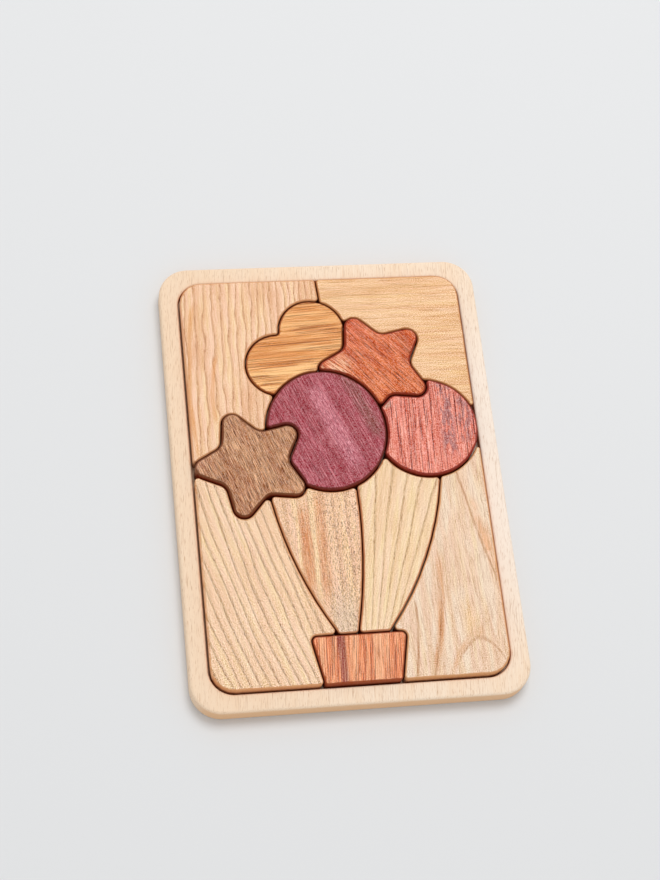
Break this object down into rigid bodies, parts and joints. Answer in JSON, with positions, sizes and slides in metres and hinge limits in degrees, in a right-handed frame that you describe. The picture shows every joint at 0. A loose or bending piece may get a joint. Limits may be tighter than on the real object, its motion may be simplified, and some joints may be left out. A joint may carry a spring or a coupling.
{
  "type": "wooden tray puzzle",
  "caption": "Flat wooden tray puzzle: sawn pieces of different woods lift out of a round-cornered tray and together show balloons, a heart, stars and a basket.",
  "frame": {"origin": "centre of the tray's back, which lies on the table", "axes": "+X to the right of the picture, +Y to the top of the picture, +Z out of the picture face"},
  "size_m": [0.1344, 0.1924, 0.0117],
  "materials": {
    "tray_beech": "oiled satin",
    "ash_striped": "oiled satin",
    "ash_golden": "oiled satin",
    "ash_cream": "oiled satin",
    "ash_pink": "oiled satin",
    "teak_golden": "oiled satin",
    "padauk_orange": "oiled satin",
    "walnut": "oiled satin",
    "purpleheart": "oiled satin",
    "redwood": "oiled satin",
    "ash_peach": "oiled satin",
    "ash_yellow": "oiled satin",
    "cedar_red": "oiled satin"
  },
  "bodies": {
    "tray": {"tray_frame": "tray_beech", "tray_base": "tray_beech"},
    "sky_top_left": {"sky_top_left": "ash_striped"},
    "sky_top_right": {"sky_top_right": "ash_golden"},
    "sky_bottom_left": {"sky_bottom_left": "ash_cream"},
    "sky_bottom_right": {"sky_bottom_right": "ash_pink"},
    "heart_balloon": {"heart_balloon": "teak_golden"},
    "orange_star_balloon": {"orange_star_balloon": "padauk_orange"},
    "walnut_star_balloon": {"walnut_star_balloon": "walnut"},
    "purple_oval_balloon": {"purple_oval_balloon": "purpleheart"},
    "red_round_balloon": {"red_round_balloon": "redwood"},
    "left_ribbon_panel": {"left_ribbon_panel": "ash_peach"},
    "right_ribbon_panel": {"right_ribbon_panel": "ash_yellow"},
    "basket": {"basket": "cedar_red"}
  },
  "joints": [
    {"name": "sky_top_left_lift", "type": "slide", "parent": "tray", "child": "sky_top_left", "axis": [0, 0, 1], "range_m": [0, 0.03]},
    {"name": "sky_top_right_lift", "type": "slide", "parent": "tray", "child": "sky_top_right", "axis": [0, 0, 1], "range_m": [0, 0.03]},
    {"name": "sky_bottom_left_lift", "type": "slide", "parent": "tray", "child": "sky_bottom_left", "axis": [0, 0, 1], "range_m": [0, 0.03]},
    {"name": "sky_bottom_right_lift", "type": "slide", "parent": "tray", "child": "sky_bottom_right", "axis": [0, 0, 1], "range_m": [0, 0.03]},
    {"name": "heart_balloon_lift", "type": "slide", "parent": "tray", "child": "heart_balloon", "axis": [0, 0, 1], "range_m": [0, 0.03]},
    {"name": "orange_star_balloon_lift", "type": "slide", "parent": "tray", "child": "orange_star_balloon", "axis": [0, 0, 1], "range_m": [0, 0.03]},
    {"name": "walnut_star_balloon_lift", "type": "slide", "parent": "tray", "child": "walnut_star_balloon", "axis": [0, 0, 1], "range_m": [0, 0.03]},
    {"name": "purple_oval_balloon_lift", "type": "slide", "parent": "tray", "child": "purple_oval_balloon", "axis": [0, 0, 1], "range_m": [0, 0.03]},
    {"name": "red_round_balloon_lift", "type": "slide", "parent": "tray", "child": "red_round_balloon", "axis": [0, 0, 1], "range_m": [0, 0.03]},
    {"name": "left_ribbon_panel_lift", "type": "slide", "parent": "tray", "child": "left_ribbon_panel", "axis": [0, 0, 1], "range_m": [0, 0.03]},
    {"name": "right_ribbon_panel_lift", "type": "slide", "parent": "tray", "child": "right_ribbon_panel", "axis": [0, 0, 1], "range_m": [0, 0.03]},
    {"name": "basket_lift", "type": "slide", "parent": "tray", "child": "basket", "axis": [0, 0, 1], "range_m": [0, 0.03]}
  ]
}
